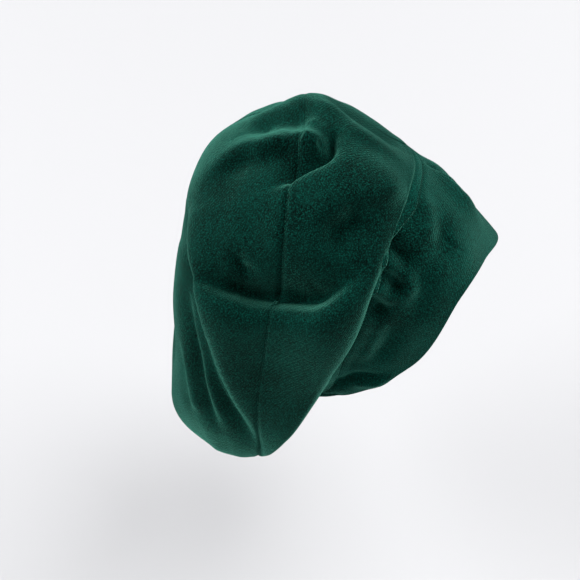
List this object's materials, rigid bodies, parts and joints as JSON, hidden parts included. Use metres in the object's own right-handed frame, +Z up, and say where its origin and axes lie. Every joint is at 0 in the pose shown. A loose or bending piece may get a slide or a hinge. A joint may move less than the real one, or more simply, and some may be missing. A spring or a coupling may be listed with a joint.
{
  "type": "slouch beret",
  "caption": "Slouch beret of velveteen: a two-disc bag gathered to a head opening, with a deep soft brim turned down around the face.",
  "frame": {"origin": "middle of the head opening, where a head holds the hat", "axes": "+Z up as worn, the brim points along -Y, the wearer's right side is -X"},
  "size_m": [0.2257, 0.2936, 0.3024],
  "materials": {
    "crown_cloth": "deep green cotton velveteen with a short dense nap",
    "welt_cloth": "the same velveteen, folded and topstitched",
    "brim_cloth": "deep green cotton velveteen with a short dense nap",
    "facing_cloth": "green velveteen facing on the underside of the brim"
  },
  "bodies": {
    "root": {"crown_back_panel": "crown_cloth", "crown_front_panel": "crown_cloth", "seam_welt": "welt_cloth", "brim_top": "brim_cloth", "brim_facing": "facing_cloth"}
  },
  "joints": []
}
